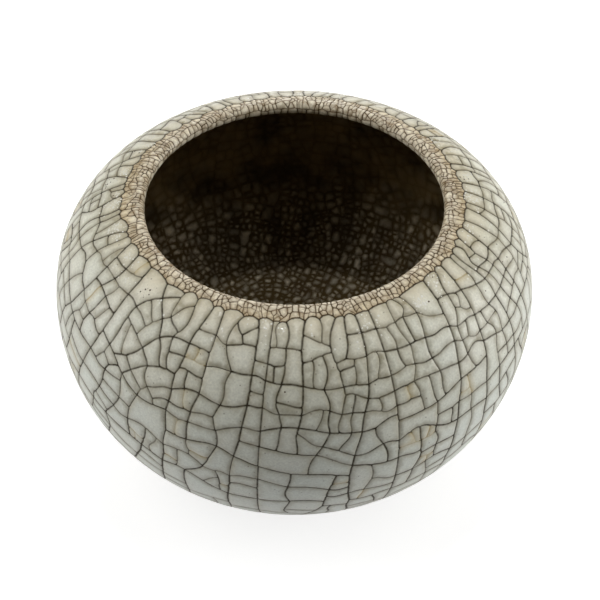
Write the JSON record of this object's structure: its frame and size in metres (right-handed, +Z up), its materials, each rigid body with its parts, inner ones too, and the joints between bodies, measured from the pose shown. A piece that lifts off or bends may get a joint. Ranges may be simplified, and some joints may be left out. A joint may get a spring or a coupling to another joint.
{
  "type": "water coupe",
  "caption": "Squat round stoneware water pot with an in-turned mouth, a round lip, a foot ring and a thick crackled grey-white glaze, stained dark inside.",
  "frame": {"origin": "centre of the foot ring's resting face", "axes": "+Z up along the pot's axis of turning; X and Y are level, and the pot is the same all round"},
  "size_m": [0.1, 0.1, 0.0639],
  "materials": {
    "stoneware": "bare fired stoneware, matt, burnt dark brown",
    "outer_glaze": "thick satin grey-white glaze with a stained crackle",
    "lip_glaze": "thin beige satin glaze with a fine brown crackle",
    "inner_glaze": "satin glaze stained dark brown, with a fine crackle",
    "base_glaze": "satin grey-white glaze with a stained crackle"
  },
  "bodies": {
    "root": {"clay_body": "stoneware", "outer_glaze": "outer_glaze", "lip_glaze": "lip_glaze", "inner_glaze": "inner_glaze", "base_glaze": "base_glaze"}
  },
  "joints": []
}
